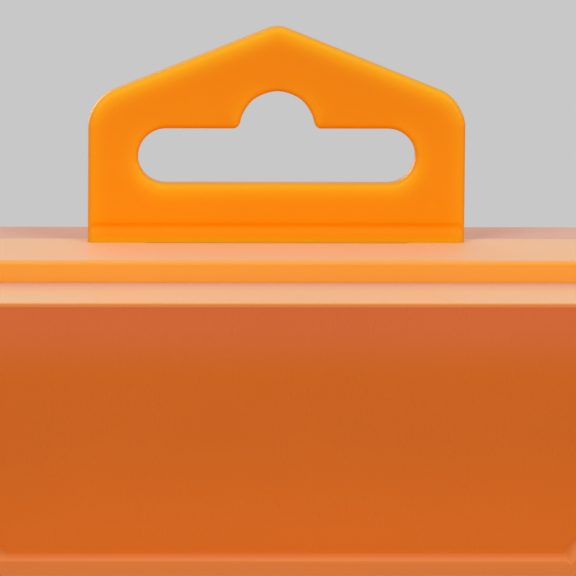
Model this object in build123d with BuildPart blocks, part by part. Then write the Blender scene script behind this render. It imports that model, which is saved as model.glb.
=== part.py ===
from build123d import *
import math
import os

os.makedirs("parts", exist_ok=True)

# Parts storage case with a hang tab, standing upright on its bottom edge.
# A deep rear tray holds twelve dividers, and a shallow front lid nests inside the tray's rim.
# The lid swings on two pinned hinges at the left edge and closes with two snap latches at the right.
# X runs across the case, Y from the lid's face (negative) to the tray's back (positive), Z is up.
# The origin is under the middle of the case, on the surface that it stands on. Sizes are millimetres.

# Case
case_width = 116.0          # across the tray's rim
case_height = 176.0         # bottom to top of the rim, without the hang tab
corner_radius = 8.0         # outer corners of the rim
side_reach = 3.0            # how far the hinges and the latches stand out past the rim

# Tray
tray_depth = 28.5           # back face to the edge of the rim
rim_wall = 2.6              # wall thickness at the rim
rim_behind_tab = 0.7        # rim left behind the hang tab
tub_step = 0.3              # the tub behind the rim is this much smaller on each side
tub_draft = 0.15            # and tapers in this much more by its back edge
back_wall = 1.6
back_edge_radius = 1.2
rim_edge_radius = 0.5

# Lid
lid_reach = 14.9            # how far the lid stands out of the tray's rim
lid_step = 2.5              # the lid's outline stands this far inside the rim's
lid_gap = 0.25              # clearance between the lid's skirt and the rim, all round
parting_gap = 0.2           # between the lid's shoulder and the edge of the rim
lid_overlap = 4.0           # depth of the lid's skirt inside the rim
lid_wall = 1.6
lid_front_wall = 2.2
lid_edge_radius = 0.5
lid_stop_gap = 0.3          # clearance between the lid's skirt and the guide ribs that stop it

# Header recess in the lid's face
header_bottom = 63.0        # straight lower edge, between the chamfered corners
header_height = 28.6        # from the lid's top edge
header_depth = 0.8
header_chamfer_x = 8.0
header_chamfer_z = 8.5

# Hang tab
tab_width = 43.5
tab_shoulder = 16.49        # height of the square corner under each shoulder's round
tab_peak = 25.25            # height of the sharp peak under the round at the top
tab_thickness = 2.8
tab_setback = 12.85         # rim edge to the tab's front face
tab_shoulder_radius = 4.5
tab_peak_radius = 2.8
tab_edge_chamfer = 0.5
slot_length = 32.0          # standard euro hang slot
slot_height = 6.45
slot_middle = 10.05         # height of the slot's middle line above the rim
slot_bump_radius = 4.34     # round bump that centres the case on a single peg
slot_bump_blend = 0.8
crease_height = 2.0         # middle of the fold crease on both faces, above the rim
crease_width = 1.2
crease_depth = 0.2

# Snap foot of the hang tab
foot_width = 30.0
foot_fit = 0.1              # clearance round the foot in the tray's slot
foot_drop = 4.5             # length of the barbs below the tray's wall
foot_barb = 0.9             # how far each barb hooks under the wall
foot_tip = 0.65             # thickness of each leg at its tip
foot_slit = 0.9             # slit that lets the two legs spring together
foot_slit_top = 1.2         # the slit starts this far below the rim's face

# Compartments
column_wall = 1.4
divider_wall = 1.2
divider_rows = 5
insert_clearance = 0.15     # round every insert, in its guide grooves
insert_headroom = 0.5       # inserts stop this far short of the closed lid
insert_corner_radius = 1.2
rib_height = 1.0            # guide ribs stand this far off the wall
rib_width = 1.2
lid_rib_height = 2.0        # lid ribs that straddle the column walls
lid_rib_width = 1.0
lid_rib_clearance = 0.6

# Hinge
hinge_barrel_radius = 2.2
hinge_spacing = 100.0       # between the middles of the two hinges
hinge_pin_diameter = 2.0
pin_clearance = 0.05        # radial clearance of every pin in its bores
lid_knuckle = 10.0
tray_knuckle = 8.0
knuckle_gap = 0.3
knuckle_floor = 1.0         # closed end under each pin
arm_bite = 0.6              # how far knuckle arms, ears and ridges run into their wall

# Latches
latch_spacing = 100.0
latch_length = 24.0
latch_barrel_radius = 1.9
latch_pin_diameter = 1.6
latch_setback = 6.0         # pivot in front of the rim's edge
latch_tail = 16.0           # pivot to the end of the latch
latch_plate = 1.6
latch_groove_radius = 0.4
latch_groove_pitch = 1.5
latch_grooves = 3
latch_end_inset = 0.8       # last groove to the end of the latch
ear_thickness = 3.0
catch_setback = 3.5         # ridge on the tray, behind the rim's edge
catch_height = 0.75
catch_ramp = 1.2
catch_heel = 0.8
catch_length = 20.0
bead_radius = 0.9
bead_behind_catch = 1.9
bead_clearance = 0.1        # between the bead's crest and the ridge's crest

# Places that the pieces share
case_depth = tray_depth + lid_reach
back_y = case_depth / 2
rim_y = back_y - tray_depth
front_y = rim_y - lid_reach
floor_y = back_y - back_wall
middle_z = case_height / 2
tab_front_y = rim_y + tab_setback
tab_middle_y = tab_front_y + tab_thickness / 2
rim_back_y = tab_front_y + tab_thickness + rim_behind_tab
skirt_inset = rim_wall + lid_gap
shoulder_y = rim_y - parting_gap
skirt_y = rim_y + lid_overlap
stop_y = skirt_y + lid_stop_gap
lid_inner_y = front_y + lid_front_wall
insert_front_y = lid_inner_y + insert_headroom
lid_inside_inset = skirt_inset + lid_wall
inner_width = case_width - 2 * rim_wall
inner_height = case_height - 2 * rim_wall
column_width = (inner_width - 2 * column_wall) / 3
column_wall_x = (column_width + column_wall) / 2
row_pitch = inner_height / divider_rows
divider_heights = [rim_wall + row_pitch * row for row in range(1, divider_rows)]
hinge_x = -(case_width / 2 + side_reach - hinge_barrel_radius)
hinge_y = rim_y
hinge_heights = {"upper": middle_z + hinge_spacing / 2, "lower": middle_z - hinge_spacing / 2}
latch_x = case_width / 2 + side_reach - latch_barrel_radius
latch_y = rim_y - latch_setback
latch_heights = {"upper": middle_z + latch_spacing / 2, "lower": middle_z - latch_spacing / 2}
latch_end_y = latch_y + latch_tail
latch_inner_x = case_width / 2 + side_reach - latch_plate
catch_y = rim_y + catch_setback
overcut = 1.0               # extra length of a cut where it leaves a face


def plane_at_y(y):
    """Plane facing the front of the case at depth y, with its own x and y along X and Z."""
    return Plane.XZ.offset(-y)


def plane_at_z(z):
    """Level plane at height z."""
    return Plane.XY.offset(z)


def case_outline(inset):
    """Rounded outline of the case, drawn in from the rim by inset on every side."""
    with Locations((0, middle_z)):
        RectangleRounded(
            case_width - 2 * inset,
            case_height - 2 * inset,
            corner_radius - inset,
        )


def guide_pair(thickness):
    """Centres of the two ribs that guide a plate of this thickness, to each side of its middle."""
    return thickness / 2 + insert_clearance + rib_width / 2


# Rear tray: rim band, drafted tub, knuckles, catch ridges and the guide ribs for the inserts
barrel_tangent = hinge_barrel_radius * math.sqrt(0.5)
tray_arm_end = hinge_y + 2 * barrel_tangent + (-case_width / 2 - hinge_x)
lid_arm_end = hinge_y - 2 * barrel_tangent - (-case_width / 2 + lid_step - hinge_x)
tray_knuckle_offset = (lid_knuckle + tray_knuckle) / 2 + knuckle_gap
notch_depth = hinge_barrel_radius + lid_gap

with BuildPart() as rear_tray:
    with BuildSketch(plane_at_y(rim_back_y)):
        case_outline(0)
    extrude(amount=rim_back_y - rim_y)
    with BuildSketch(plane_at_y(back_y)):
        case_outline(tub_step + tub_draft)
    with BuildSketch(plane_at_y(rim_back_y)):
        case_outline(tub_step)
    loft(ruled=True)
    fillet(rear_tray.faces().sort_by(Axis.Y)[-1].edges(), back_edge_radius)
    fillet(rear_tray.faces().sort_by(Axis.Y)[0].outer_wire().edges(), rim_edge_radius)
    with BuildSketch(plane_at_y(floor_y)):
        case_outline(rim_wall)
    extrude(amount=floor_y - rim_y, mode=Mode.SUBTRACT)

    # slot for the hang tab's foot
    with BuildSketch(plane_at_z(case_height - rim_wall - overcut)):
        with Locations((0, tab_middle_y)):
            Rectangle(foot_width + 2 * foot_fit, tab_thickness + 2 * foot_fit)
    extrude(amount=rim_wall + 2 * overcut, mode=Mode.SUBTRACT)

    # guide ribs for the dividers on the side walls
    with BuildSketch(plane_at_y(floor_y)):
        for height in divider_heights:
            for side in (-1, 1):
                for offset_z in (-guide_pair(divider_wall), guide_pair(divider_wall)):
                    with Locations((side * (inner_width - rib_height) / 2, height + offset_z)):
                        Rectangle(rib_height, rib_width)
        # and for the column walls on the top and bottom walls
        for wall_side in (-1, 1):
            for offset_x in (-guide_pair(column_wall), guide_pair(column_wall)):
                for level in (rim_wall + rib_height / 2, case_height - rim_wall - rib_height / 2):
                    with Locations((wall_side * column_wall_x + offset_x, level)):
                        Rectangle(rib_width, rib_height)
    extrude(amount=floor_y - stop_y)

    # knuckles, and the notches in the rim where the lid's knuckles turn
    for hinge_z in hinge_heights.values():
        with BuildSketch(plane_at_z(hinge_z - lid_knuckle / 2 - knuckle_gap)):
            with Locations((-(case_width - rim_wall) / 2, rim_y + notch_depth / 2 - overcut / 2)):
                Rectangle(rim_wall + 2 * lid_gap, notch_depth + overcut)
        extrude(amount=lid_knuckle + 2 * knuckle_gap, mode=Mode.SUBTRACT)
        for knuckle_side in (-1, 1):
            with BuildSketch(plane_at_z(hinge_z + knuckle_side * tray_knuckle_offset - tray_knuckle / 2)):
                with Locations((hinge_x, hinge_y)):
                    Circle(hinge_barrel_radius)
                Polygon(
                    (hinge_x, hinge_y),
                    (-case_width / 2 + arm_bite, hinge_y),
                    (-case_width / 2 + arm_bite, tray_arm_end),
                    (-case_width / 2, tray_arm_end),
                    (hinge_x - barrel_tangent, hinge_y + barrel_tangent),
                    align=None,
                )
            extrude(amount=tray_knuckle)
        pin_seat = hinge_z - tray_knuckle_offset - tray_knuckle / 2 + knuckle_floor
        with BuildSketch(plane_at_z(pin_seat)):
            with Locations((hinge_x, hinge_y)):
                Circle(hinge_pin_diameter / 2 + pin_clearance)
        extrude(amount=2 * tray_knuckle + lid_knuckle + overcut, mode=Mode.SUBTRACT)

    # ridges that the latches snap over
    for latch_z in latch_heights.values():
        with BuildSketch(plane_at_z(latch_z - catch_length / 2)):
            Polygon(
                (case_width / 2 - arm_bite, catch_y - catch_ramp),
                (case_width / 2, catch_y - catch_ramp),
                (case_width / 2 + catch_height, catch_y),
                (case_width / 2, catch_y + catch_heel),
                (case_width / 2 - arm_bite, catch_y + catch_heel),
                align=None,
            )
        extrude(amount=catch_length)

rear_tray.part.label = "rear_tray"
export_step(rear_tray.part, "parts/rear_tray.step")


# Hang tab: a house-shaped plate on a split foot that snaps through the top of the tray
with BuildPart() as hang_tab:
    with BuildSketch(plane_at_y(tab_front_y)) as house:
        with BuildLine():
            Polyline(
                (-tab_width / 2, case_height),
                (-tab_width / 2, case_height + tab_shoulder),
                (0, case_height + tab_peak),
                (tab_width / 2, case_height + tab_shoulder),
                (tab_width / 2, case_height),
                close=True,
            )
        make_face()
        fillet(house.vertices().group_by(Axis.Y)[-1], tab_peak_radius)
        fillet(house.vertices().group_by(Axis.Y)[1], tab_shoulder_radius)
    extrude(amount=-tab_thickness)
    with BuildSketch(plane_at_y(tab_front_y)) as hang_slot:
        with Locations((0, case_height + slot_middle)):
            SlotOverall(slot_length, slot_height)
        with Locations((0, case_height + slot_middle + slot_height / 2)):
            Circle(slot_bump_radius)
        slot_bump_corners = hang_slot.vertices().group_by(Axis.Y)[-1].filter_by(
            lambda corner: abs(corner.X) < slot_bump_radius * 1.2
        )
        fillet(slot_bump_corners, slot_bump_blend)
    extrude(amount=-tab_thickness, mode=Mode.SUBTRACT)
    for plate_face in hang_tab.faces().filter_by(Axis.Y):
        broken = plate_face.edges().filter_by(
            lambda edge: edge.center().Z > case_height + tab_edge_chamfer
        )
        chamfer(broken, tab_edge_chamfer)
    with BuildSketch(Plane.YZ):
        crease_z = case_height + crease_height
        for crease_y, inward in ((tab_front_y, 1), (tab_front_y + tab_thickness, -1)):
            Polygon(
                (crease_y, crease_z - crease_width / 2),
                (crease_y + inward * crease_depth, crease_z),
                (crease_y, crease_z + crease_width / 2),
                align=None,
            )
    extrude(amount=tab_width / 2, both=True, mode=Mode.SUBTRACT)
    foot_top = case_height - rim_wall
    foot_bottom = foot_top - foot_drop
    with BuildSketch(Plane.YZ) as foot_profile:
        with Locations((tab_middle_y, (case_height + foot_top) / 2)):
            Rectangle(tab_thickness, rim_wall)
        for leg_side in (-1, 1):
            Polygon(
                (tab_middle_y, foot_top),
                (tab_middle_y + leg_side * (tab_thickness / 2 + foot_barb), foot_top),
                (tab_middle_y + leg_side * (foot_slit / 2 + foot_tip), foot_bottom),
                (tab_middle_y, foot_bottom),
                align=None,
            )
        slit_height = case_height - foot_slit_top - foot_bottom + overcut
        with Locations((tab_middle_y, foot_bottom - overcut + slit_height / 2)):
            Rectangle(foot_slit, slit_height, mode=Mode.SUBTRACT)
    extrude(amount=foot_width / 2, both=True)

hang_tab.part.label = "hang_tab"
export_step(hang_tab.part, "parts/hang_tab.step")


# Front lid: a shallow shell whose shoulder closes on the rim's edge and whose skirt nests inside it,
# with the header recess in its face
lid_top = case_height - lid_step
header_floor_z = lid_top - header_height
header_floor_half = header_bottom / 2 + header_chamfer_x
lid_left_x = -case_width / 2 + lid_step
lid_right_x = case_width / 2 - lid_step


def header_outline(grow):
    """Header recess, grown outward by grow at its sides and its lower edge and open at the top."""
    top = lid_top + overcut
    corner_run = header_chamfer_z + grow * (1 - math.tan(math.pi / 8))
    Polygon(
        (-header_floor_half - grow, top),
        (-header_floor_half - grow, header_floor_z + corner_run),
        (-header_bottom / 2 - grow * math.tan(math.pi / 8), header_floor_z - grow),
        (header_bottom / 2 + grow * math.tan(math.pi / 8), header_floor_z - grow),
        (header_floor_half + grow, header_floor_z + corner_run),
        (header_floor_half + grow, top),
        align=None,
    )


with BuildPart() as front_lid:
    with BuildSketch(plane_at_y(shoulder_y)):
        case_outline(lid_step)
    extrude(amount=shoulder_y - front_y)
    fillet(front_lid.faces().sort_by(Axis.Y)[0].edges(), lid_edge_radius)
    with BuildSketch(plane_at_y(skirt_y)):
        case_outline(skirt_inset)
    extrude(amount=skirt_y - shoulder_y)
    with BuildSketch(plane_at_y(skirt_y)):
        case_outline(lid_inside_inset)
    extrude(amount=skirt_y - lid_inner_y, mode=Mode.SUBTRACT)
    with BuildSketch(plane_at_y(front_y + header_depth)):
        header_outline(0)
    with BuildSketch(plane_at_y(front_y)):
        header_outline(header_depth)
    loft(ruled=True, mode=Mode.SUBTRACT)
    recess_edge = front_lid.edges().filter_by(Axis.X).filter_by_position(
        Axis.Y, front_y + header_depth - 0.01, front_y + header_depth + 0.01
    )
    fillet(recess_edge.sort_by(Axis.Z)[-1], lid_edge_radius)

    # ribs inside the face that straddle the column walls
    with BuildSketch(plane_at_y(lid_inner_y + lid_rib_height)):
        lid_rib_offset = column_wall / 2 + lid_rib_clearance + lid_rib_width / 2
        for wall_x in (-column_wall_x, column_wall_x):
            for rib_x in (wall_x - lid_rib_offset, wall_x + lid_rib_offset):
                with Locations((rib_x, middle_z)):
                    Rectangle(lid_rib_width, case_height - 2 * lid_inside_inset)
    extrude(amount=lid_rib_height)

    # knuckles on the left, in front of the rim's edge
    for hinge_z in hinge_heights.values():
        with BuildSketch(plane_at_z(hinge_z - lid_knuckle / 2)):
            with Locations((hinge_x, hinge_y)):
                Circle(hinge_barrel_radius)
            Polygon(
                (hinge_x, hinge_y - lid_gap),
                (hinge_x - barrel_tangent, hinge_y - barrel_tangent),
                (lid_left_x, lid_arm_end),
                (lid_left_x + arm_bite, lid_arm_end),
                (lid_left_x + arm_bite, hinge_y - lid_gap),
                align=None,
            )
            with Locations((hinge_x, hinge_y)):
                Circle(hinge_pin_diameter / 2 + pin_clearance, mode=Mode.SUBTRACT)
        extrude(amount=lid_knuckle)

    # ears that carry the latches on the right
    for latch_z in latch_heights.values():
        ear_offset = (latch_length + ear_thickness) / 2 + knuckle_gap
        for ear_side in (-1, 1):
            with BuildSketch(plane_at_z(latch_z + ear_side * ear_offset - ear_thickness / 2)):
                with Locations((latch_x, latch_y)):
                    Circle(latch_barrel_radius)
                ear_run = latch_x - lid_right_x
                Polygon(
                    (lid_right_x - arm_bite, latch_y + latch_barrel_radius),
                    (latch_x, latch_y + latch_barrel_radius),
                    (latch_x, latch_y - latch_barrel_radius),
                    (lid_right_x, latch_y - latch_barrel_radius - ear_run / 2),
                    (lid_right_x - arm_bite, latch_y - latch_barrel_radius - ear_run / 2),
                    align=None,
                )
                with Locations((latch_x, latch_y)):
                    Circle(latch_pin_diameter / 2 + pin_clearance, mode=Mode.SUBTRACT)
            extrude(amount=ear_thickness)

front_lid.part.label = "front_lid"
export_step(front_lid.part, "parts/front_lid.step")


# Latches: a barrel on the pin, a flat plate over the rim, and a bead that snaps behind the ridge
bead_y = catch_y + bead_behind_catch
bead_x = case_width / 2 + catch_height + bead_clearance + bead_radius
latch_outer_x = case_width / 2 + side_reach

for latch_side, latch_z in latch_heights.items():
    with BuildPart() as latch:
        with BuildSketch(plane_at_z(latch_z - latch_length / 2)):
            with Locations((latch_x, latch_y)):
                Circle(latch_barrel_radius)
            with Locations((latch_outer_x - latch_plate / 2, (latch_y + latch_end_y) / 2)):
                Rectangle(latch_plate, latch_tail)
            with Locations((bead_x, bead_y)):
                Circle(bead_radius)
            with Locations((latch_x, latch_y)):
                Circle(latch_pin_diameter / 2 + pin_clearance, mode=Mode.SUBTRACT)
            for groove in range(latch_grooves):
                groove_y = latch_end_y - latch_end_inset - latch_groove_radius - groove * latch_groove_pitch
                with Locations((latch_outer_x, groove_y)):
                    Circle(latch_groove_radius, mode=Mode.SUBTRACT)
        extrude(amount=latch_length)
    latch.part.label = f"latch_{latch_side}"
    export_step(latch.part, f"parts/latch_{latch_side}.step")

    with BuildPart() as latch_pin:
        with BuildSketch(plane_at_z(latch_z - latch_length / 2 - knuckle_gap - ear_thickness)):
            with Locations((latch_x, latch_y)):
                Circle(latch_pin_diameter / 2)
        extrude(amount=latch_length + 2 * knuckle_gap + 2 * ear_thickness)
    latch_pin.part.label = f"latch_pin_{latch_side}"
    export_step(latch_pin.part, f"parts/latch_pin_{latch_side}.step")


# Hinge pins: steel wire, standing on the closed end of the lowest knuckle
for hinge_side, hinge_z in hinge_heights.items():
    with BuildPart() as hinge_pin:
        with BuildSketch(plane_at_z(hinge_z - tray_knuckle_offset - tray_knuckle / 2 + knuckle_floor)):
            with Locations((hinge_x, hinge_y)):
                Circle(hinge_pin_diameter / 2)
        extrude(amount=2 * tray_knuckle_offset + tray_knuckle - knuckle_floor)
    hinge_pin.part.label = f"hinge_pin_{hinge_side}"
    export_step(hinge_pin.part, f"parts/hinge_pin_{hinge_side}.step")


# Column walls: tall plates with guide ribs on both faces, stepped in where the lid closes round them
wall_foot = rim_wall + insert_clearance
wall_neck = lid_inside_inset + insert_headroom

for wall_side, wall_x in {"left": -column_wall_x, "right": column_wall_x}.items():
    with BuildPart() as column:
        with BuildSketch(Plane.YZ.offset(wall_x - column_wall / 2)) as wall_profile:
            Polygon(
                (floor_y, wall_foot),
                (stop_y, wall_foot),
                (stop_y, wall_neck),
                (insert_front_y, wall_neck),
                (insert_front_y, case_height - wall_neck),
                (stop_y, case_height - wall_neck),
                (stop_y, case_height - wall_foot),
                (floor_y, case_height - wall_foot),
                align=None,
            )
            fillet(wall_profile.vertices().group_by(Axis.X)[0], insert_corner_radius)
        extrude(amount=column_wall)
        with BuildSketch(plane_at_y(floor_y)):
            for face_side in (-1, 1):
                for height in divider_heights:
                    for rib_offset in (-guide_pair(divider_wall), guide_pair(divider_wall)):
                        rib_x = wall_x + face_side * (column_wall + rib_height) / 2
                        with Locations((rib_x, height + rib_offset)):
                            Rectangle(rib_height, rib_width)
        extrude(amount=floor_y - stop_y)
    column.part.label = f"column_wall_{wall_side}"
    export_step(column.part, f"parts/column_wall_{wall_side}.step")


# Dividers: one moulding used twelve times, with its front corners stepped in to clear the lid's skirt,
# which swings inward past the left-hand dividers as the lid opens
divider_half = column_width / 2 - insert_clearance
hinge_standoff = -case_width / 2 - hinge_x
skirt_swing = math.hypot(lid_inside_inset + hinge_standoff, lid_overlap)
divider_neck = skirt_swing - hinge_standoff + insert_headroom
divider_neck_half = column_width / 2 - (divider_neck - rim_wall)
divider_number = 0

for column_x in (-column_width - column_wall, 0, column_width + column_wall):
    for height in divider_heights:
        divider_number += 1
        with BuildPart() as divider:
            with BuildSketch(plane_at_z(height - divider_wall / 2)) as divider_profile:
                with Locations((column_x, (floor_y + stop_y) / 2)):
                    Rectangle(2 * divider_half, floor_y - stop_y)
                with Locations((column_x, (floor_y + insert_front_y) / 2)):
                    Rectangle(2 * divider_neck_half, floor_y - insert_front_y)
                fillet(divider_profile.vertices().group_by(Axis.Y)[0], insert_corner_radius)
            extrude(amount=divider_wall)
        divider.part.label = f"divider_{divider_number:02d}"
        export_step(divider.part, f"parts/divider_{divider_number:02d}.step")
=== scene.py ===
"""Parts storage case in orange polypropylene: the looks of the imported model.

A rear tray and a nesting front lid are moulded in translucent orange polypropylene, with a bright
hang tab snapped through the top, two snap latches, wire pins and thin removable inserts. Every
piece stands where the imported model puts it, in metres, with its place in its mesh.
"""

import logging
import math
from dataclasses import dataclass
from enum import Enum
from typing import Any, Callable, Iterable, Sequence

import bmesh
import bpy
from mathutils import Euler, Matrix, Vector
from mathutils.geometry import intersect_point_line
from mathutils.kdtree import KDTree


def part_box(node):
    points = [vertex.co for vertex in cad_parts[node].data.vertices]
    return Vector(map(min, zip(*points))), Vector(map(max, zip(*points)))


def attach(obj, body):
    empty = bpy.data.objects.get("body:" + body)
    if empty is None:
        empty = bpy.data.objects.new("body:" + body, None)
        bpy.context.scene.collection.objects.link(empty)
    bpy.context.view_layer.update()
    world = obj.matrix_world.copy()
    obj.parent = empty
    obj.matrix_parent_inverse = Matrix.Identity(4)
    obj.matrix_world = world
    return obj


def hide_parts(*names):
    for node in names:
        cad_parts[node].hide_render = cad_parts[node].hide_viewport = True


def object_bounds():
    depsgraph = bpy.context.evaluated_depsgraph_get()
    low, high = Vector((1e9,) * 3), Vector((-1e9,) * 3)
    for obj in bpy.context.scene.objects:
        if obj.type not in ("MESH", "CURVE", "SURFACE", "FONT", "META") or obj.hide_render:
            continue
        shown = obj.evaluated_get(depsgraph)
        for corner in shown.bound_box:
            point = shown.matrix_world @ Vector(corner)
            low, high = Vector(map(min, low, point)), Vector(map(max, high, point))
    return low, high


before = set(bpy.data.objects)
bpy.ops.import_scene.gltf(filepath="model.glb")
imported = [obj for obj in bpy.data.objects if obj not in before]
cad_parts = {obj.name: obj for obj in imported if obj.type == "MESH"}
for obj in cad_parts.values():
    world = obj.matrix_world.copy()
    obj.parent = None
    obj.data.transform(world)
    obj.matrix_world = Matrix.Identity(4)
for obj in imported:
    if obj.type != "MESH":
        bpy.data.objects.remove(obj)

MM = 0.001                       # metres in a millimetre
WELD = 0.00002                   # m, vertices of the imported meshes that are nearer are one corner
ON_PLANE = WELD / 10             # m, vertices that are nearer to a cutting plane lie on it
FLAT = math.radians(0.4)         # faces that turn from each other by less are one flat face
LEAST_EDGE = 0.6 * MM            # shorter edges stay sharp
MIX_A, MIX_B, MIXED = 6, 7, 2    # sockets of a Mix node for colours: its two inputs and its output
CAD_LOW, CAD_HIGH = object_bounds()
LOG = logging.getLogger("parts_case")


class Body(Enum):
    """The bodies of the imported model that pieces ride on."""

    TRAY = "tray"
    LID = "lid"
    UPPER_LATCH = "upper_latch"
    LOWER_LATCH = "lower_latch"


class Level(Enum):
    """The two heights on the case, each with a latch on one side and a hinge on the other."""

    UPPER = "upper"
    LOWER = "lower"


class Slot(Enum):
    """The record's material slots."""

    TRAY = "tray_plastic"
    LID = "lid_plastic"
    TAB = "tab_plastic"
    LATCH = "latch_plastic"
    INSERT = "insert_plastic"
    PIN = "pin_steel"


class Grain(Enum):
    """How the mould was finished, as the height in millimetres of the grain that it leaves."""

    POLISHED = 0.0008
    SATIN = 0.003
    SPARK = 0.008


class LidFace(Enum):
    """The lid's materials, by their numbers in its list: two finishes, and the slope's painted light line.
    """

    TEXTURED = 0
    POLISHED = 1
    LIP = 2


def linear(hex_colour: str) -> tuple[float, float, float, float]:
    """Turns an sRGB hex colour into the linear colour that a shader socket takes.

    Args:
        hex_colour: Six hex digits, such as "c8c8c8".

    Returns:
        Linear red, green and blue, and an alpha of 1.
    """
    channels = (int(hex_colour[start:start + 2], 16) / 255 for start in (0, 2, 4))
    red, green, blue = (
        value / 12.92 if value <= 0.04045 else ((value + 0.055) / 1.055) ** 2.4
        for value in channels
    )
    return (red, green, blue, 1.0)


def add_node(
    tree: bpy.types.NodeTree,
    kind: str,
    settings: dict[str, Any] | None = None,
    inputs: dict[str | int, Any] | None = None,
) -> bpy.types.Node:
    """Adds a node with its settings and its inputs, each a value or another node's output.

    Args:
        tree: Node tree that gets the node.
        kind: Blender's type name of the node.
        settings: Properties set on the node itself.
        inputs: Socket name or number to a value, or to an output socket that feeds it.

    Returns:
        The new node.
    """
    node = tree.nodes.new(kind)
    for name, value in (settings or {}).items():
        setattr(node, name, value)
    for key, value in (inputs or {}).items():
        if isinstance(value, bpy.types.NodeSocket):
            tree.links.new(value, node.inputs[key])
        else:
            node.inputs[key].default_value = value
    return node


def new_material(name: str) -> tuple[bpy.types.Material, bpy.types.NodeTree]:
    """Makes a material with an empty node tree.

    Args:
        name: Name of the finish.

    Returns:
        The material and its tree.
    """
    material = bpy.data.materials.new(name)
    material.use_nodes = True
    material.node_tree.nodes.clear()
    return material, material.node_tree


def fade_along(
    tree: bpy.types.NodeTree, place: bpy.types.NodeSocket, axis: str, start: float, end: float,
) -> bpy.types.NodeSocket:
    """Fades smoothly from 0 to 1 between two places along an axis.

    Args:
        tree: The material's tree.
        place: Object coordinates in millimetres.
        axis: Name of the axis, "X", "Y" or "Z".
        start: Place up to which the share is 0, in millimetres.
        end: Place from which it is 1, in millimetres, on either side of the start.

    Returns:
        The share at each point.
    """
    along = add_node(tree, "ShaderNodeSeparateXYZ", None, {0: place}).outputs[axis]
    return add_node(tree, "ShaderNodeMapRange", {"interpolation_type": "SMOOTHSTEP"}, {
        "Value": along, "From Min": start, "From Max": end,
    }).outputs["Result"]


@dataclass(frozen=True)
class MouldedPolypropylene:
    """Injection-moulded polypropylene, translucent, with the mould's grain on its skin.

    The light that gathers in a wall which is doubled or seen near its edge is painted into the colour
    as its bright colour, and the shade of the unlit inside of the case behind a pane is painted as its
    deep colour. Its frosted skin scatters a pale haze when it is seen at a grazing angle.
    """

    name: str
    deep: str                       # painted shade: colour of a pane over the unlit inside
    bright: str                     # painted light: colour of a wall that light gathers in
    grain: Grain = Grain.SATIN
    grain_size: float = 0.25        # mm, drawn about twice as coarse as the real one so that it shows
    roughness: float = 0.42
    specular: float = 0.5
    haze: float = 0.50              # sheen of the frosted skin
    haze_roughness: float = 0.55    # how far the haze spreads towards a face seen straight on
    cloud_size: float = 30.0        # mm, faint clouds that the melt leaves as it fills the mould
    cloud_share: float = 0.03       # how much paler or deeper they are
    scuff_size: float = 6.0         # mm, width of the rubbed patches that handling leaves
    scuff_shape: float = 0.35       # their width as a share of their height
    scuff_share: float = 0.06       # how much rougher they are

    def painted_light_share(
        self, tree: bpy.types.NodeTree, place: bpy.types.NodeSocket,
    ) -> bpy.types.NodeSocket | float:
        """Says how much of the bright colour, painted light, each point shows: none, on a plain moulding.
        """
        return 0.0

    def base_colour(self, tree: bpy.types.NodeTree, place: bpy.types.NodeSocket) -> bpy.types.NodeSocket:
        """Mixes the deep and the bright colour: painted shade and painted light.

        Args:
            tree: The material's tree.
            place: Object coordinates in millimetres.

        Returns:
            The colour, before the melt's clouds.
        """
        mixed = add_node(tree, "ShaderNodeMix", {"data_type": "RGBA"}, {
            "Factor": self.painted_light_share(tree, place),
            MIX_A: linear(self.deep), MIX_B: linear(self.bright),
        })
        return mixed.outputs[MIXED]

    def build(self) -> bpy.types.Material:
        """Makes the material: clouds in the colour, scuffs in the gloss and grain in the relief.

        Returns:
            The finished material.
        """
        material, tree = new_material(self.name)
        coordinates = add_node(tree, "ShaderNodeTexCoord")
        place = add_node(tree, "ShaderNodeVectorMath", {"operation": "SCALE"}, {
            0: coordinates.outputs["Object"], "Scale": 1 / MM,
        }).outputs[0]
        clouds = add_node(tree, "ShaderNodeTexNoise", None, {
            "Vector": place, "Scale": 1 / self.cloud_size, "Detail": 3.0, "Roughness": 0.55,
        })
        lift = add_node(tree, "ShaderNodeMapRange", None, {
            "Value": clouds.outputs["Fac"], "From Min": 0.25, "From Max": 0.75,
            "To Min": 1 - self.cloud_share, "To Max": 1 + self.cloud_share,
        })
        colour = add_node(tree, "ShaderNodeVectorMath", {"operation": "SCALE"}, {
            0: self.base_colour(tree, place), "Scale": lift.outputs["Result"],
        })
        stretched = add_node(tree, "ShaderNodeVectorMath", {"operation": "MULTIPLY"}, {
            0: place, 1: (1.0, 1.0, self.scuff_shape),
        })
        rubbed = add_node(tree, "ShaderNodeTexNoise", None, {
            "Vector": stretched.outputs[0], "Scale": 1 / self.scuff_size, "Detail": 5.0, "Roughness": 0.7,
        })
        gloss = add_node(tree, "ShaderNodeMapRange", None, {
            "Value": rubbed.outputs["Fac"], "From Min": 0.35, "From Max": 0.75,
            "To Min": self.roughness - self.scuff_share / 2, "To Max": self.roughness + self.scuff_share,
        })
        grain = add_node(tree, "ShaderNodeTexNoise", None, {
            "Vector": place, "Scale": 1 / self.grain_size, "Detail": 2.0,
        })
        relief = add_node(tree, "ShaderNodeBump", None, {
            "Height": grain.outputs["Fac"], "Strength": 1.0, "Distance": self.grain.value * MM,
        })
        shader = add_node(tree, "ShaderNodeBsdfPrincipled", None, {
            "Base Color": colour.outputs[0], "Roughness": gloss.outputs["Result"],
            "IOR": 1.49, "Specular IOR Level": self.specular, "Normal": relief.outputs["Normal"],
            "Sheen Weight": self.haze, "Sheen Roughness": self.haze_roughness,
        })
        add_node(tree, "ShaderNodeOutputMaterial", None, {"Surface": shader.outputs[0]})
        return material


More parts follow.
